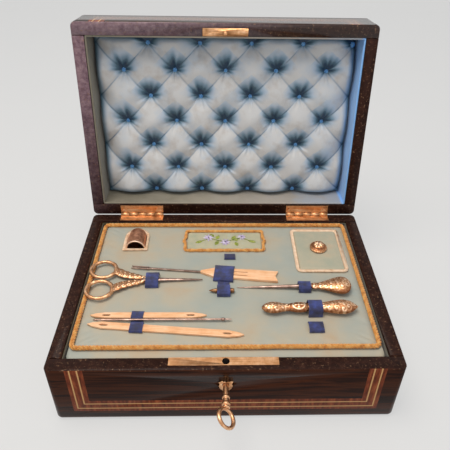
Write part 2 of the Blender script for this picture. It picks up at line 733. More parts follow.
def keyhole(bm, low_y, high_y):
    """Round hole for the shaft with a slot below it for the bit."""
    hole = KEY_SHAFT_RADIUS + KEYHOLE_CLEARANCE
    slot = KEY_BIT_THICKNESS / 2 + KEYHOLE_CLEARANCE
    bottom = -KEY_BIT_REACH - KEYHOLE_CLEARANCE
    start = math.asin(slot / hole)
    steps = 14
    outline = []
    for step in range(steps + 1):
        angle = -math.pi / 2 + start + (math.tau - 2 * start) * step / steps
        outline.append((LOCK_X + hole * math.cos(angle), KEY_HEIGHT + hole * math.sin(angle)))
    outline += [(LOCK_X - slot, KEY_HEIGHT + bottom), (LOCK_X + slot, KEY_HEIGHT + bottom)]
    prism(bm, outline, low_y, high_y, towards_back)


def lock(front_wall):
    plate_centre = (LOCK_X + LOCK_PLATE_SHIFT, LOCK_Y, BASE_HEIGHT - PLATE / 2)
    bm = bmesh.new()
    block(bm, plate_centre, (LOCK_PLATE_LENGTH, LOCK_PLATE_WIDTH, PLATE))
    plate = publish("lock_plate", bm, "brass", case)
    hole = bmesh.new()
    turned(hole, [(0, STUD_HOLE_RADIUS), (BASE_HEIGHT + OVERRUN, STUD_HOLE_RADIUS)], 24, along_z,
           shift=(LOCK_X, LOCK_Y, 0))
    shape_with(plate, hole, "DIFFERENCE", case)

    bm = bmesh.new()
    box(bm, (LOCK_X - LOCK_CASE_LENGTH / 2, LOCK_Y - LOCK_CASE_DEPTH / 2, LOCK_CASE_LOW),
        (LOCK_X + LOCK_CASE_LENGTH / 2, LOCK_Y + LOCK_CASE_DEPTH / 2, LOCK_CASE_TOP))
    lock_case = publish("lock_case", bm, "brass", case)
    inside = bmesh.new()
    reach_x = LOCK_CASE_LENGTH / 2 - LOCK_SHEET
    reach_y = LOCK_CASE_DEPTH / 2 - LOCK_SHEET
    box(inside, (LOCK_X - reach_x, LOCK_Y - reach_y, LOCK_CASE_LOW + LOCK_SHEET),
        (LOCK_X + reach_x, LOCK_Y + reach_y, LOCK_CASE_TOP + OVERRUN))
    shape_with(lock_case, inside, "DIFFERENCE", case)
    entry = bmesh.new()
    keyhole(entry, LOCK_Y - LOCK_CASE_DEPTH, LOCK_Y)
    shape_with(lock_case, entry, "DIFFERENCE", case)

    mortise = bmesh.new()
    box(mortise, (LOCK_X - LOCK_CASE_LENGTH / 2 - SEAT, LOCK_Y - LOCK_CASE_DEPTH / 2 - SEAT, LOCK_CASE_LOW - SEAT),
        (LOCK_X + LOCK_CASE_LENGTH / 2 + SEAT, LOCK_Y + LOCK_CASE_DEPTH / 2 + SEAT, BASE_HEIGHT + OVERRUN))
    shape_with(front_wall, mortise, "DIFFERENCE", case)
    seat = bmesh.new()
    box(seat, (plate_centre[0] - LOCK_PLATE_LENGTH / 2 - SEAT, LOCK_Y - LOCK_PLATE_WIDTH / 2 - SEAT,
               LOCK_PLATE_LOW - SEAT),
        (plate_centre[0] + LOCK_PLATE_LENGTH / 2 + SEAT, -INNER_Y + OVERRUN, BASE_HEIGHT + OVERRUN))
    shape_with(front_wall, seat, "DIFFERENCE", case)
    entry = bmesh.new()
    keyhole(entry, -HALF_D - OVERRUN, LOCK_Y)
    shape_with(front_wall, entry, "DIFFERENCE", case)


def shield(bm, half_width, half_height, low_y, high_y):
    right = [(half_width * across, half_height * up) for across, up in ESCUTCHEON_SHARES]
    left = [(-across, up) for across, up in right[-2:0:-1]]
    centre_z = KEY_HEIGHT - ESCUTCHEON_DROP
    outline = [(LOCK_X + across, centre_z + up) for across, up in right + left]
    prism(bm, outline, low_y, high_y, towards_back)


def escutcheon(front_wall):
    """Shield let into the front of the case round the keyhole."""
    half_width, half_height = ESCUTCHEON_WIDTH / 2, ESCUTCHEON_HEIGHT / 2
    bm = bmesh.new()
    shield(bm, half_width, half_height, -HALF_D - PLATE / 2, -HALF_D + PLATE / 2)
    piece = publish("escutcheon", bm, "brass", case)
    entry = bmesh.new()
    keyhole(entry, -HALF_D - OVERRUN, LOCK_Y)
    shape_with(piece, entry, "DIFFERENCE", case)
    seat = bmesh.new()
    shield(seat, half_width + SEAT, half_height + SEAT, -HALF_D - OVERRUN, -HALF_D + PLATE / 2 + SEAT)
    shape_with(front_wall, seat, "DIFFERENCE", case)


def lock_bolt():
    """Bar with a notch for the key's bit and a finger that enters the stud's slot."""
    depth = LOCK_CASE_DEPTH / 2 - LOCK_SHEET - SEAT
    low = KEY_HEIGHT + KEY_BIT_REACH - BOLT_NOTCH_DEPTH + SEAT
    bar_top = low + BOLT_BAR
    stud_low = LID_RIM - STUD_REACH
    finger_middle = stud_low + STUD_TIP + STUD_SLOT_HEIGHT / 2
    top = finger_middle + FINGER_HEIGHT / 2
    right = LOCK_X + BOLT_LENGTH / 2
    bolt = carrier("bolt_origin", (LOCK_X, LOCK_Y, bar_top))
    bm = bmesh.new()
    notch_left = LOCK_X + BOLT_NOTCH_SHIFT - BOLT_NOTCH / 2
    notch_right = notch_left + BOLT_NOTCH
    outline = [(LOCK_X - BOLT_LENGTH / 2, low), (notch_left, low), (notch_left, low + BOLT_NOTCH_DEPTH),
               (notch_right, low + BOLT_NOTCH_DEPTH), (notch_right, low), (right, low), (right, top),
               (right - BOLT_UPRIGHT, top), (right - BOLT_UPRIGHT, bar_top), (LOCK_X - BOLT_LENGTH / 2, bar_top)]
    prism(bm, outline, LOCK_Y - depth, LOCK_Y + depth, towards_back)
    piece = publish("lock_bolt", bm, "brass", bolt)
    finger = bmesh.new()
    box(finger, (LOCK_X + STUD_RADIUS + BOLT_STAND_OFF, LOCK_Y - FINGER_DEPTH / 2, top - FINGER_HEIGHT),
        (right - BOLT_UPRIGHT / 2, LOCK_Y + FINGER_DEPTH / 2, top - SEAT / 2))
    shape_with(piece, finger, "UNION", bolt)


def key():
    """Pipe key: bit at the inner end, two collars and an open bow, in the bow's own plane."""
    body = carrier("key_axis", (LOCK_X, -HALF_D, KEY_HEIGHT), (0, -KEY_TURNED, 0))
    bm = bmesh.new()
    profile = [(-KEY_TIP_INSET, KEY_SHAFT_RADIUS)] + scaled(KEY_COLLAR_SHARES, KEY_SHAFT_LENGTH, KEY_COLLAR_RADIUS)
    turned(bm, profile, 14, outward)
    piece = publish("key", bm, "brass", body, local=True)
    bow = bmesh.new()
    steps = 20
    middle = KEY_SHAFT_LENGTH + KEY_BOW_RADIUS
    rings = []
    for step in range(steps):
        turn = math.tau * step / steps
        centre = outward(middle - KEY_BOW_RADIUS * math.cos(turn), 0, KEY_BOW_RADIUS * math.sin(turn))
        radial = outward(-math.cos(turn), 0, math.sin(turn))
        across = Vector((1, 0, 0))
        angles = [math.tau * side / 8 for side in range(8)]
        rings.append([bow.verts.new(centre + KEY_BOW_WIRE * (math.cos(a) * radial + math.sin(a) * across))
                      for a in angles])
    for step in range(steps):
        one, two = rings[step], rings[(step + 1) % steps]
        for side in range(8):
            after = (side + 1) % 8
            bow.faces.new((one[side], one[after], two[after], two[side]))
    shape_with(piece, bow, "UNION", body, local=True)
    bit = bmesh.new()
    outer = -HALF_D - (LOCK_Y + KEY_BIT_WIDTH / 2)
    box(bit, (-KEY_BIT_THICKNESS / 2, -(outer + KEY_BIT_WIDTH), -KEY_BIT_REACH),
        (KEY_BIT_THICKNESS / 2, -outer, -KEY_SHAFT_RADIUS / 2))
    shape_with(piece, bit, "UNION", body, local=True)


def strike(lid_wall):
    """Plate on the lid's rim, in one with its screws and the slotted stud that drops into the lock."""
    bm = bmesh.new()
    block(bm, (LOCK_X, LOCK_Y, LID_RIM + PLATE / 2), (STRIKE_LENGTH, STRIKE_WIDTH, PLATE))
    plate = publish("strike_plate", bm, "brass", lid)
    low = LID_RIM - STUD_REACH
    stud = bmesh.new()
    turned(stud, [(low, STUD_RADIUS * STUD_NOSE_SHARE), (low + STUD_RADIUS / 4, STUD_RADIUS),
                  (LID_RIM + STUD_ROOT, STUD_RADIUS)], 16, along_z, shift=(LOCK_X, LOCK_Y, 0))
    shape_with(plate, stud, "UNION", lid)
    slot = bmesh.new()
    slot_middle = low + STUD_TIP + STUD_SLOT_HEIGHT / 2
    block(slot, (LOCK_X, LOCK_Y, slot_middle), (2 * STUD_RADIUS + OVERRUN, STUD_SLOT_WIDTH, STUD_SLOT_HEIGHT))
    shape_with(plate, slot, "DIFFERENCE", lid)
    screws = [(LOCK_X + side * STRIKE_SCREW_SPACING / 2, LOCK_Y) for side in (-1, 1)]
    add_screws(plate, screws, LID_RIM, 1, PLATE, lid)

    seat = bmesh.new()
    block(seat, (LOCK_X, LOCK_Y, LID_RIM), (STRIKE_LENGTH + 2 * SEAT, STRIKE_WIDTH + 2 * SEAT, 2 * (PLATE + SEAT)))
    shape_with(lid_wall, seat, "DIFFERENCE", lid)
    holes = bmesh.new()
    turned(holes, [(LID_RIM, STUD_RADIUS + SEAT), (LID_RIM + STUD_ROOT + SEAT, STUD_RADIUS + SEAT)], 16, along_z,
           shift=(LOCK_X, LOCK_Y, 0))
    for x, y in screws:
        screw_hole(holes, x, y, LID_RIM, 1)
    shape_with(lid_wall, holes, "DIFFERENCE", lid)


# Lid cushion

CUSHION_X = LINED_X - SEAT
CUSHION_S_LOW = HALF_D - LINED_Y + SEAT
CUSHION_S_HIGH = HALF_D + LINED_Y - SEAT


def tuft_places():
    """Buttons in alternate rows of four and five, as (x, distance from the hinge line)."""
    places = []
    for row in range(TUFT_ROWS):
        count = 4 if row % 2 == 0 else 5
        for index in range(count):
            places.append(((index - (count - 1) / 2) * TUFT_PITCH_X, FIRST_ROW + row * TUFT_PITCH_S))
    places.append((CORNER_BUTTON_X, FIRST_ROW + (TUFT_ROWS - 1) * TUFT_PITCH_S))
    return places


def cushion_rise(x, s):
    """Height of the silk over the board: pillows between the buttons, pleats on the diagonals."""
    across = (x - TUFT_PITCH_X / 2) / TUFT_PITCH_X
    along = (s - FIRST_ROW) / (2 * TUFT_PITCH_S)
    one = abs(math.sin(math.pi * (across + along)))
    two = abs(math.sin(math.pi * (across - along)))
    pillow = PILLOW_SHARE * (one * two) ** PILLOW_FULLNESS + (1 - PILLOW_SHARE) * max(one, two)
    edge = min(CUSHION_X - abs(x), s - CUSHION_S_LOW, CUSHION_S_HIGH - s)
    share = min(1, max(0, edge) / CUSHION_FALL)
    fall = math.sqrt(1 - (1 - share) ** 2)
    low = CUSHION_EDGE - CUSHION_HEM * (1 - fall)
    return low + (CUSHION_CROWN - CUSHION_EDGE) * pillow * fall


def cushion():
    """Deep buttoned cushion as one height field with a flat back."""
    step_x = TUFT_PITCH_X / 2 / TUFT_STEPS
    step_s = TUFT_PITCH_S / TUFT_STEPS
    half_count = int(CUSHION_X / step_x)
    xs = [-CUSHION_X] + [index * step_x for index in range(-half_count, half_count + 1)] + [CUSHION_X]
    count_s = int((CUSHION_S_HIGH - FIRST_ROW) / step_s)
    ss = [CUSHION_S_LOW] + [FIRST_ROW + index * step_s for index in range(count_s + 1)] + [CUSHION_S_HIGH]
    back = LID_INSIDE - SEAT
    bm = bmesh.new()
    grid = [[bm.verts.new((x, HALF_D - s, back - cushion_rise(x, s))) for x in xs] for s in ss]
    for row, after_row in zip(grid, grid[1:]):
        for index in range(len(xs) - 1):
            bm.faces.new((row[index], row[index + 1], after_row[index + 1], after_row[index]))
    border = grid[0] + [row[-1] for row in grid[1:]] + grid[-1][-2::-1] + [row[0] for row in grid[-2:0:-1]]
    behind = [bm.verts.new((vert.co.x, vert.co.y, back)) for vert in border]
    for index in range(len(border)):
        after = (index + 1) % len(border)
        bm.faces.new((border[index], border[after], behind[after], behind[index]))
    bm.faces.new(behind)
    piece = publish("lid_cushion", bm, "blue_silk", lid)
    buttons = bmesh.new()
    for x, s in tuft_places():
        surface = back - cushion_rise(x, s)
        profile = [(surface + BUTTON_SINK, BUTTON_RADIUS), (surface - BUTTON_HEIGHT / 2, BUTTON_RADIUS),
                   (surface - BUTTON_HEIGHT, 0)]
        turned(buttons, profile, 6, along_z, shift=(x, HALF_D - s, 0))
    shape_with(piece, buttons, "UNION", lid)


# Tray

def pad_height(x, y):
    """Top of the pad inside the cord: a low crown over the whole field."""
    reach = max(abs(x) / CORD_X, abs(y - CORD_MIDDLE) / CORD_HALF_Y)
    return PAD_TOP + PAD_CROWN * max(0, 1 - reach * reach)


def rest_height(*places):
    """Lowest seat that clears the pad under every given place."""
    return max(pad_height(x, y) for x, y in places) + SEAT


def tray_outline(inset=0):
    return rounded_rectangle(TRAY_X - inset, TRAY_Y - inset, TRAY_CORNER - inset, 3)


def well_outline(grow=0):
    return rounded_rectangle(WELL_HALF_X + grow, WELL_HALF_Y + grow, WELL_CORNER + grow, 2, (WELL_X, WELL_Y))


def niche_outline(half, front, back):
    """Arch in plan: straight front, straight sides and a round back."""
    steps = 10
    outline = [(THIMBLE_X - half, front), (THIMBLE_X + half, front)]
    for step in range(steps + 1):
        angle = math.pi * step / steps
        outline.append((THIMBLE_X + half * math.cos(angle), back - half + half * math.sin(angle)))
    return outline


NICHE_HALF = THIMBLE_RADIUS + NICHE_SIDE
NICHE_LOW_Y = THIMBLE_MOUTH_Y - NICHE_FRONT
NICHE_HIGH_Y = THIMBLE_MOUTH_Y + THIMBLE_LENGTH + NICHE_BACK


def well_holes(low, high):
    """Cutter for the two wells, a seat gap wider than they are."""
    bm = bmesh.new()
    prism(bm, well_outline(SEAT), low, high)
    grow = NICHE_WALL + SEAT
    prism(bm, niche_outline(NICHE_HALF + grow, NICHE_LOW_Y - grow, NICHE_HIGH_Y + grow), low, high)
    return bm


def tray_boards():
    bm = bmesh.new()
    prism(bm, tray_outline(), TRAY_BOTTOM, TRAY_BOTTOM + TRAY_BOARD)
    publish("tray_board", bm, "card", tray)
    bm = bmesh.new()
    band(bm, tray_outline(), tray_outline(TRAY_WALL), TRAY_BOTTOM + TRAY_BOARD + SEAT, DECK_LOW - SEAT)
    publish("tray_frame", bm, "sage_silk", tray)
    bm = bmesh.new()
    prism(bm, tray_outline(), DECK_LOW, DECK_LOW + TRAY_DECK)
    deck = publish("tray_deck", bm, "card", tray)
    shape_with(deck, well_holes(DECK_LOW - OVERRUN, PAD_LOW + OVERRUN), "DIFFERENCE", tray)


def cord_path(inset, radius):
    """Closed outline at a distance inside the cord's line, with its straight sides divided."""
    outline = rounded_rectangle(CORD_X - inset, CORD_HALF_Y - inset, radius, 4, (0, CORD_MIDDLE))
    return outline


def side_steps(corner_points, per_side):
    """Outline with each straight side divided into the same number of steps."""
    result = []
    count = len(corner_points)
    for index, start in enumerate(corner_points):
        end = corner_points[(index + 1) % count]
        straight = (index + 1) % (count // 4) == 0
        pieces = per_side if straight else 1
        for piece in range(pieces):
            share = piece / pieces
            result.append((start[0] + share * (end[0] - start[0]), start[1] + share * (end[1] - start[1])))
    return result


def tray_pad():
    """Silk pad: rolled edge, a drawn-in groove under the cord and a low crown."""
    per_side = 7
    outer = side_steps(rounded_rectangle(TRAY_X, TRAY_Y, TRAY_CORNER, 4), per_side)
    tucked = side_steps(rounded_rectangle(TRAY_X - PAD_TUCK, TRAY_Y - PAD_TUCK, TRAY_CORNER, 4), per_side)
    line = side_steps(cord_path(0, TRAY_CORNER), per_side)
    groove = PAD_TOP - CORD_SINK
    rings = [[Vector((x, y, PAD_LOW)) for x, y in tucked]]
    for share in PAD_ROLL_SHARES:
        lift = math.sqrt(1 - (1 - share) ** 2)
        height = groove - PAD_ROLL * (1 - lift)
        rings.append([Vector((a[0] + share * share * (b[0] - a[0]), a[1] + share * share * (b[1] - a[1]), height))
                      for a, b in zip(outer, line)])
    rings.append([Vector((x, y, groove)) for x, y in line])
    shoulder = side_steps(cord_path(2 * CORD_RADIUS, TRAY_CORNER), per_side)
    rings.append([Vector((x, y, pad_height(x, y))) for x, y in shoulder])
    for share in PAD_FIELD_SHARES:
        ring = []
        for x, y in shoulder:
            place = (x * share, CORD_MIDDLE + (y - CORD_MIDDLE) * share)
            ring.append(Vector((*place, pad_height(*place))))
        rings.append(ring)
    bm = bmesh.new()
    stacked_rings(bm, rings)
    pad = publish("tray_pad", bm, "sage_silk", tray)
    shape_with(pad, well_holes(PAD_LOW - OVERRUN, PAD_TOP + OVERRUN), "DIFFERENCE", tray)


def gold_cord():
    height = PAD_TOP - CORD_SINK + SEAT + CORD_RADIUS
    bm = bmesh.new()
    path = divided(rounded_rectangle(CORD_X, CORD_HALF_Y, TRAY_CORNER, 4, (0, CORD_MIDDLE)), CASE_WIDTH / 10)
    loop_tube(bm, [Vector((x, y, height)) for x, y in path], CORD_RADIUS, 8)
    publish("gold_cord", bm, "gold_thread", tray)


def crowned_slab(bm, centre, half_x, half_y, radius, low, thickness, crown):
    """Flat-backed pad whose rounded edge rises to a low crown."""
    def ring(inset, height):
        outline = rounded_rectangle(half_x - inset, half_y - inset, radius, 3, centre)
        return [Vector((x, y, height)) for x, y in side_steps(outline, 4)]
    edge = thickness * SLAB_EDGE_SHARE
    rings = [ring(0, low), ring(0, low + thickness - edge), ring(edge, low + thickness)]
    outline = side_steps(rounded_rectangle(half_x - edge, half_y - edge, radius, 3, centre), 4)
    for share in SLAB_FIELD_SHARES:
        height = low + thickness + crown * (1 - share * share)
        rings.append([Vector((centre[0] + share * (x - centre[0]), centre[1] + share * (y - centre[1]), height))
                      for x, y in outline])
    stacked_rings(bm, rings)


def panel():
    """Embroidered panel inside its braid frame, sewn to the pad."""
    corners = [(PANEL_X + sx * PANEL_LENGTH / 2, PANEL_Y + sy * PANEL_WIDTH / 2) for sx in (-1, 1) for sy in (-1, 1)]
    low = rest_height((PANEL_X, PANEL_Y - PANEL_WIDTH / 2), *corners)
    half_x = PANEL_LENGTH / 2 - BRAID_RADIUS
    half_y = PANEL_WIDTH / 2 - BRAID_RADIUS
    bm = bmesh.new()
    path = divided(rounded_rectangle(half_x, half_y, BRAID_RADIUS, 3, (PANEL_X, PANEL_Y)), PANEL_LENGTH / 5)
    loop_tube(bm, [Vector((x, y, low + BRAID_RADIUS)) for x, y in path], BRAID_RADIUS, 8)
    publish("panel_braid", bm, "gold_thread", tray)
    inset = BRAID_RADIUS + SEAT
    bm = bmesh.new()
    crowned_slab(bm, (PANEL_X, PANEL_Y), half_x - inset, half_y - inset, BRAID_RADIUS, low, PANEL_THICKNESS,
                 PANEL_CROWN)
    publish("embroidered_panel", bm, "sage_silk", tray)


def compartment():
    """Open well with an ivory rim and an inner ledge, its silk cover and the gilt knob."""
    low = TRAY_BOTTOM + TRAY_BOARD + SEAT
    flange_low = rest_height((WELL_X - WELL_LENGTH / 2, WELL_Y))
    flange_top = flange_low + WELL_RIM_RISE
    bm = bmesh.new()
    prism(bm, well_outline(), low, flange_top)
    well = publish("compartment_well", bm, "ivory_paper", tray)
    flange = bmesh.new()
    prism(flange, well_outline(WELL_FLANGE), flange_low, flange_top)
    shape_with(well, flange, "UNION", tray)
    cover_low = flange_top - COVER_THICKNESS
    inside = bmesh.new()
    prism(inside, well_outline(-WELL_WALL), cover_low - SEAT, flange_top + OVERRUN)
    shape_with(well, inside, "DIFFERENCE", tray)
    below = bmesh.new()
    prism(below, well_outline(-WELL_WALL - WELL_LEDGE), low + WELL_FLOOR, flange_top + OVERRUN)
    shape_with(well, below, "DIFFERENCE", tray)

    cover = carrier("cover_origin", (WELL_X, WELL_Y, cover_low), parent=tray)
    bm = bmesh.new()
    fit = WELL_WALL + COVER_CLEARANCE
    crowned_slab(bm, (WELL_X, WELL_Y), WELL_HALF_X - fit, WELL_HALF_Y - fit, WELL_WALL, cover_low, COVER_THICKNESS,
                 COVER_CROWN)
    publish("compartment_cover", bm, "sage_silk", cover)
    bm = bmesh.new()
    knob_low = cover_low + COVER_THICKNESS + COVER_CROWN + SEAT
    profile = [(knob_low + along, radius) for along, radius in scaled(KNOB_SHARES, KNOB_HEIGHT, KNOB_RADIUS)]
    turned(bm, profile, 20, along_z, shift=(WELL_X, WELL_Y, 0))
    publish("cover_knob", bm, "gilt", cover)


def thimble():
    """Arched well let into the pad, and the thimble that lies half sunk in it."""
    rim = NICHE_Z + PAD_CROWN + NICHE_RISE
    centre_z = NICHE_Z
    floor = centre_z - THIMBLE_RADIUS - SEAT
    wide = NICHE_HALF + NICHE_WALL
    bm = bmesh.new()
    prism(bm, niche_outline(wide, NICHE_LOW_Y - NICHE_WALL, NICHE_HIGH_Y + NICHE_WALL), floor - NICHE_WALL, rim)
    well = publish("thimble_well", bm, "ivory_paper", tray)
    flange = bmesh.new()
    reach = NICHE_WALL + NICHE_FLANGE
    prism(flange, niche_outline(NICHE_HALF + reach, NICHE_LOW_Y - reach, NICHE_HIGH_Y + reach),
          rim - NICHE_RISE, rim)
    shape_with(well, flange, "UNION", tray)
    inside = bmesh.new()
    prism(inside, niche_outline(NICHE_HALF, NICHE_LOW_Y, NICHE_HIGH_Y), floor, rim + OVERRUN)
    shape_with(well, inside, "DIFFERENCE", tray)

    body = carrier("thimble_origin", (THIMBLE_X, THIMBLE_MOUTH_Y, centre_z), parent=tray)
    outer = scaled(THIMBLE_SHARES, THIMBLE_LENGTH, THIMBLE_RADIUS)
    inner = [(max(0, along - THIMBLE_WALL), max(0, radius - THIMBLE_WALL)) for along, radius in outer[:-2]]
    profile = outer + [(0, outer[-3][1] - THIMBLE_WALL)] + inner[::-1][1:]
    bm = bmesh.new()
    turned(bm, profile, 24, towards_back)
    publish("thimble", bm, "gilt", body, local=True)


# Tools on the pad

def scissors():
    """Two halves that cross at the pivot screw, lying from the cord down to the pad."""
    cord_top = PAD_TOP - CORD_SINK + SEAT + 2 * CORD_RADIUS
    ring_seat = cord_top + SEAT + RING_WIRE
    plate_depth = SEAT / 2 + BLADE_THICKNESS
    tip = (SCISSORS_X + BLADE_REACH, SCISSORS_Y)
    tip_seat = rest_height(tip, (SCISSORS_X, SCISSORS_Y)) + plate_depth
    back_reach = SCISSORS_X + CORD_X
    tilt = math.atan((ring_seat - tip_seat) / (back_reach + BLADE_REACH))
    height = tip_seat + BLADE_REACH * math.tan(tilt)
    place = (SCISSORS_X, SCISSORS_Y, height)
    fixed = carrier("scissors_origin", place, (0, tilt, SCISSORS_YAW), tray)
    moving = carrier("scissors_axis", place, (0, tilt, SCISSORS_YAW), tray)
    for name, side, body in (("scissors_lower_half", -1, fixed), ("scissors_upper_half", 1, moving)):
        ring = bmesh.new()
        steps = 24
        path = []
        for step in range(steps):
            angle = math.tau * step / steps
            path.append(Vector((-RING_OFFSET_X + RING_RADIUS_X * math.cos(angle),
                                side * RING_OFFSET_Y + RING_RADIUS_Y * math.sin(angle), 0)))
        loop_tube(ring, path, RING_WIRE, 8)
        piece = publish(name, ring, "gilt", body, local=True)
        shoulder = bmesh.new()
        outline = [(-RING_OFFSET_X * along, side * RING_OFFSET_Y * across) for along, across in SHOULDER_SHARES]
        prism(shoulder, outline, -SHOULDER_HALF, SHOULDER_HALF)
        shape_with(piece, shoulder, "UNION", body, local=True)
        blade = bmesh.new()
        near_side, far_side = [[(SHOULDER_START * along, side * BLADE_HALF_WIDTH * across) for along, across in shares]
                               for shares in (BLADE_NEAR_SHARES, BLADE_FAR_SHARES)]
        outline = near_side + [(BLADE_REACH, 0)] + far_side
        near, far = SEAT / 2, plate_depth
        prism(blade, outline, *sorted((side * near, side * far)))
        shape_with(piece, blade, "UNION", body, local=True)
        hole = bmesh.new()
        bore = PIVOT_RADIUS + SEAT
        turned(hole, [(-OVERRUN, bore), (OVERRUN, bore)], 12, along_z)
        shape_with(piece, hole, "DIFFERENCE", body, local=True)
    bm = bmesh.new()
    end = plate_depth + SEAT
    profile = [(-end - PIVOT_HEAD, PIVOT_HEAD_RADIUS), (-end, PIVOT_HEAD_RADIUS), (-end, PIVOT_RADIUS),
               (end, PIVOT_RADIUS), (end, PIVOT_HEAD_RADIUS), (end + PIVOT_HEAD, PIVOT_HEAD_RADIUS * PIVOT_HEAD_TAPER_SHARE)]
    turned(bm, profile, 12, along_z)
    publish("scissors_screw", bm, "steel", fixed, local=True)
    return height + end + PIVOT_HEAD


def netting_fork():
    """Flat bone handle with a notched end and a steel rod whose end is forked."""
    end = (FORK_X + BONE_LENGTH, FORK_Y + BONE_LENGTH * math.tan(FORK_YAW))
    height = rest_height((FORK_X, FORK_Y), end, ((FORK_X + end[0]) / 2, (FORK_Y + end[1]) / 2))
    body = carrier("fork_origin", (FORK_X, FORK_Y, height), (0, 0, FORK_YAW), tray)
    side = scaled(BONE_SHARES, BONE_LENGTH, BONE_HALF_WIDTH)
    outline = [(x, -y) for x, y in side] + [(BONE_LENGTH - BONE_NOTCH, 0)] + side[::-1]
    bm = bmesh.new()
    prism(bm, outline, 0, BONE_THICKNESS)
    bone = publish("fork_handle", bm, "bone", body, local=True)
    slits = bmesh.new()
    for side_sign in (-1, 1):
        block(slits, (SLIT_START + SLIT_LENGTH / 2, side_sign * SLIT_OFFSET, BONE_THICKNESS / 2),
              (SLIT_LENGTH, SLIT_WIDTH, BONE_THICKNESS + OVERRUN))
    shape_with(bone, slits, "DIFFERENCE", body, local=True)
    root = -SEAT
    split = -FORK_ROD_LENGTH + FORK_PRONG_LENGTH
    tip = -FORK_ROD_LENGTH
    half = FORK_ROD_HALF
    outline = [(root, half), (split, half), (split - FORK_SPREAD, FORK_SPREAD), (tip, FORK_SPREAD * PRONG_TIP_SHARE),
               (tip + FORK_SPREAD, FORK_SLOT_HALF), (split - FORK_SPREAD * 2, FORK_SLOT_HALF)]
    outline += [(x, -y) for x, y in outline[::-1]]
    bm = bmesh.new()
    prism(bm, outline, (BONE_THICKNESS - FORK_ROD_THICKNESS) / 2, (BONE_THICKNESS + FORK_ROD_THICKNESS) / 2)
    publish("fork_rod", bm, "steel", body, local=True)
    return height + BONE_THICKNESS


def stiletto():
    """Steel point and flattened gilt handle, tip and handle both on the pad."""
    handle_middle = POINT_LENGTH + HANDLE_LENGTH * HANDLE_REST_SHARE
    grip = (STILETTO_X + handle_middle, STILETTO_Y + handle_middle * math.tan(STILETTO_YAW))
    tip_height = rest_height((STILETTO_X, STILETTO_Y)) + POINT_TIP_RADIUS
    grip_height = rest_height(grip, (STILETTO_X + POINT_LENGTH, STILETTO_Y)) + HANDLE_RADIUS * HANDLE_FLATNESS
    pitch = math.atan((grip_height - tip_height) / handle_middle)
    body = carrier("stiletto_origin", (STILETTO_X, STILETTO_Y, tip_height), (0, -pitch, STILETTO_YAW), tray)
    bm = bmesh.new()
    turned(bm, scaled(POINT_SHARES, POINT_LENGTH, POINT_RADIUS), 12)
    publish("stiletto_point", bm, "steel", body, local=True)
    bm = bmesh.new()
    profile = [(POINT_LENGTH + SEAT + x, r) for x, r in scaled(HANDLE_SHARES, HANDLE_LENGTH, HANDLE_RADIUS)]
    turned(bm, profile, 16, flatness=HANDLE_FLATNESS)
    publish("stiletto_handle", bm, "gilt", body, local=True)
    loop_reach = STILETTO_LOOP[0] - STILETTO_X
    return tip_height + loop_reach * math.tan(pitch) + POINT_RADIUS


def needle_case():
    """Two-part case: the cap pulls off a hollow spigot of the body."""
    thick = NEEDLE_CASE_RADIUS * NEEDLE_CASE_FLATNESS
    height = rest_height((CASE_X, CASE_Y), (CASE_X + CAP_LENGTH + BODY_LENGTH, CASE_Y)) + thick
    body = carrier("needle_case_origin", (CASE_X, CASE_Y, height), (0, 0, CASE_YAW), tray)
    start = CAP_LENGTH + SEAT
    shell = [(start + x, r) for x, r in scaled(BODY_SHARES, BODY_LENGTH, NEEDLE_CASE_RADIUS)]
    mouth = start - SPIGOT_LENGTH
    profile = [(mouth + NEEDLE_BORE_DEPTH, 0), (mouth + NEEDLE_BORE_DEPTH, NEEDLE_BORE_RADIUS),
               (mouth, NEEDLE_BORE_RADIUS), (mouth, SPIGOT_RADIUS), (start, SPIGOT_RADIUS)] + shell
    bm = bmesh.new()
    turned(bm, profile, 16, flatness=NEEDLE_CASE_FLATNESS)
    publish("needle_case_body", bm, "gilt", body, local=True)
    cap = carrier("needle_cap_origin", (CASE_X, CASE_Y, height), (0, 0, CASE_YAW), tray)
    bore = SPIGOT_RADIUS + SEAT
    profile = scaled(CAP_SHARES, CAP_LENGTH, NEEDLE_CASE_RADIUS)
    profile += [(CAP_LENGTH, bore), (mouth - SEAT, bore), (mouth - SEAT, 0)]
    bm = bmesh.new()
    turned(bm, profile, 16, flatness=NEEDLE_CASE_FLATNESS)
    publish("needle_case_cap", bm, "gilt", cap, local=True)
    return height + thick * NEEDLE_CASE_WAIST_SHARE


def netting_needle(name, ends):
    """Flat bone needle, pointed at both ends, with an eye near each."""
    start, end, half = Vector(ends[0:2]), Vector(ends[2:4]), ends[4]
    run = end - start
    length = run.length
    middle = (start + end) / 2
    height = rest_height(tuple(start), tuple(middle), tuple(end))
    body = carrier(name + "_origin", (start.x, start.y, height), (0, 0, math.atan2(run.y, run.x)), tray)
    outline = [(0, 0), (NEEDLE_POINT / 3, -half * NEEDLE_POINT_SHARE), (NEEDLE_POINT, -half), (length - NEEDLE_POINT, -half),
               (length - NEEDLE_POINT / 3, -half * NEEDLE_POINT_SHARE), (length, 0)]
    outline += [(x, -y) for x, y in outline[-2:0:-1]]
    bm = bmesh.new()
    prism(bm, outline, 0, NETTING_THICKNESS)
    needle = publish(name, bm, "bone", body, local=True)
    eyes = bmesh.new()
    for centre in (NEEDLE_EYE_INSET, length - NEEDLE_EYE_INSET):
        reach, narrow = NEEDLE_EYE_LENGTH / 2, NEEDLE_EYE_HALF
        eye = [(centre - reach, 0), (centre - reach / 2, -narrow), (centre + reach / 2, -narrow), (centre + reach, 0),
               (centre + reach / 2, narrow), (centre - reach / 2, narrow)]
        prism(eyes, eye, -OVERRUN, NETTING_THICKNESS + OVERRUN)
    shape_with(needle, eyes, "DIFFERENCE", body, local=True)
    return height + NETTING_THICKNESS


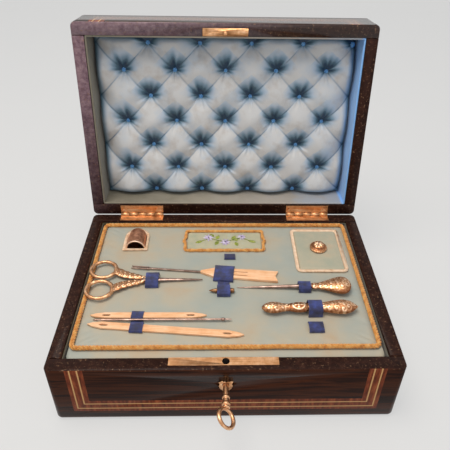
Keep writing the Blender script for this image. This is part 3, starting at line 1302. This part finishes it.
def crochet_hook():
    ends = ((HOOK_X, HOOK_Y), (HOOK_X + HOOK_LENGTH, HOOK_Y), (HOOK_X + HOOK_LENGTH / 2, HOOK_Y))
    height = rest_height(*ends) + RIBBON + SEAT + HOOK_RADIUS_FAT
    body = carrier("hook_origin", (HOOK_X, HOOK_Y, height), parent=tray)
    bm = bmesh.new()
    turned(bm, scaled(HOOK_SHARES, HOOK_LENGTH, HOOK_RADIUS_FAT), 8)
    publish("crochet_hook", bm, "steel", body, local=True)


def bodkin():
    height = rest_height((BODKIN_X, BODKIN_Y), (BODKIN_X + BODKIN_LENGTH, BODKIN_Y)) + BODKIN_RADIUS
    body = carrier("bodkin_origin", (BODKIN_X, BODKIN_Y, height), parent=tray)
    bm = bmesh.new()
    turned(bm, scaled(BODKIN_SHARES, BODKIN_LENGTH, BODKIN_RADIUS), 12)
    publish("bodkin", bm, "brass", body, local=True)
    return height + BODKIN_RADIUS


# Ribbon loops

def hump(half_span, rise, shift=0):
    """Inner and outer line of a band that goes over a tool, as (across, up) points."""
    steps = 8
    inner, outer = [], []
    for step in range(steps + 1):
        angle = math.pi * step / steps
        bulge = math.copysign(abs(math.cos(angle)) ** LOOP_SQUARENESS_SHARE, math.cos(angle))
        lift = math.sin(angle) ** LOOP_SQUARENESS_SHARE if 0 < step < steps else 0
        inner.append((shift + half_span * bulge, rise * lift))
        outer.append((shift + (half_span + RIBBON) * bulge, (rise + RIBBON) * lift))
    return inner, outer


def turned_frame(x, y, z, yaw):
    """Frame for a band that crosses a tool with this yaw."""
    def frame(along, across, up):
        return Vector((x + along * math.cos(yaw) - across * math.sin(yaw),
                       y + along * math.sin(yaw) + across * math.cos(yaw), z + up))
    return frame


def loop_over(name, loop, line, half_width, top):
    """Ribbon loop over a tool whose centre line, half width and top are given."""
    x, width, ease = loop
    half_span = half_width + ease
    start_x, start_y, yaw = line
    y = start_y + (x - start_x) * math.tan(yaw)
    foot = rest_height((x, y - half_span), (x, y), (x, y + half_span))
    inner, outer = hump(half_span, top + RIBBON_SLACK - foot)
    bm = bmesh.new()
    prism(bm, inner + outer[::-1], -width / 2, width / 2, turned_frame(x, y, foot, yaw))
    return publish(name, bm, "ribbon", tray), y - half_span, foot


def middle_loops(fork_top, bodkin_top):
    """Wide loop over the fork's handle, sewn down in one with the small loop over the bodkin."""
    line = (FORK_X, FORK_Y, FORK_YAW)
    piece, wide_front, foot = loop_over("middle_loops", FORK_LOOP, line, BONE_HALF_WIDTH, fork_top)
    x, width, ease = BODKIN_LOOP
    half_span = BODKIN_RADIUS + ease
    inner, outer = hump(half_span, bodkin_top + RIBBON_SLACK - foot)
    bm = bmesh.new()
    prism(bm, inner + outer[::-1], -width / 2, width / 2, turned_frame(x, BODKIN_Y, foot, 0))
    shape_with(piece, bm, "UNION", tray)
    bridge = bmesh.new()
    low_y = BODKIN_Y + half_span
    high_y = wide_front + LOOP_BRIDGE_OVERLAP
    box(bridge, (x - width / 2 + RIBBON, low_y, foot), (x + width / 2 - RIBBON, high_y, foot + RIBBON))
    shape_with(piece, bridge, "UNION", tray)


def netting_loops(tops):
    """One ribbon with a loop over each netting needle and a flat stretch between, under the hook."""
    places, half_spans = [], []
    for (x, _, ease), ends in ((BACK_NETTING_LOOP, BACK_NEEDLE), (FRONT_NETTING_LOOP, FRONT_NEEDLE)):
        places.append(ends[1] + (x - ends[0]) * (ends[3] - ends[1]) / (ends[2] - ends[0]))
        half_spans.append(ends[4] + ease)
    x, width = BACK_NETTING_LOOP[:2]
    y = places[0]
    foot = rest_height((x, y + half_spans[0]), (x, y))
    back_inner, back_outer = hump(half_spans[0], tops[0] + RIBBON_SLACK - foot)
    front_inner, front_outer = hump(half_spans[1], tops[1] + RIBBON_SLACK - foot, places[1] - y)
    flat = [(back_outer[-2][0] - RIBBON, RIBBON), (front_outer[1][0] + RIBBON, RIBBON)]
    top_line = back_outer[:-1] + flat + front_outer[1:]
    bottom_line = back_inner + front_inner
    bm = bmesh.new()
    yaw = math.atan2(FRONT_NEEDLE[3] - FRONT_NEEDLE[1], FRONT_NEEDLE[2] - FRONT_NEEDLE[0]) / 2
    prism(bm, top_line + bottom_line[::-1], -width / 2, width / 2, turned_frame(x, y, foot, yaw))
    publish("netting_loops", bm, "ribbon", tray)


def empty_loop(name, x, y, width, half_span, rise):
    foot = rest_height((x, y))
    inner, outer = hump(half_span, rise)
    bm = bmesh.new()
    prism(bm, inner + outer[::-1], -width / 2, width / 2, turned_frame(x, y, foot, 0))
    publish(name, bm, "ribbon", tray)


base = case_walls()
upper = lid_walls()
linings()
bearers()
hinges(base["back_wall"], upper["lid_back_wall"])
lock(base["front_wall"])
escutcheon(base["front_wall"])
lock_bolt()
key()
strike(upper["lid_front_wall"])
cushion()
tray_boards()
tray_pad()
gold_cord()
panel()
compartment()
thimble()
loop_over("scissors_loop", SCISSORS_LOOP, (SCISSORS_X, SCISSORS_Y, SCISSORS_YAW), BLADE_HALF_WIDTH, scissors())
middle_loops(netting_fork(), bodkin())
loop_over("stiletto_loop", STILETTO_LOOP, (STILETTO_X, STILETTO_Y, STILETTO_YAW), POINT_RADIUS, stiletto())
loop_over("needle_case_loop", NEEDLE_CASE_LOOP, (CASE_X, CASE_Y, CASE_YAW),
          NEEDLE_CASE_RADIUS * NEEDLE_CASE_WAIST_SHARE, needle_case())
netting_loops([netting_needle("netting_needle_back", BACK_NEEDLE),
               netting_needle("netting_needle_front", FRONT_NEEDLE)])
crochet_hook()
empty_loop("back_tab", *BACK_TAB)
empty_loop("front_tab", *FRONT_TAB)
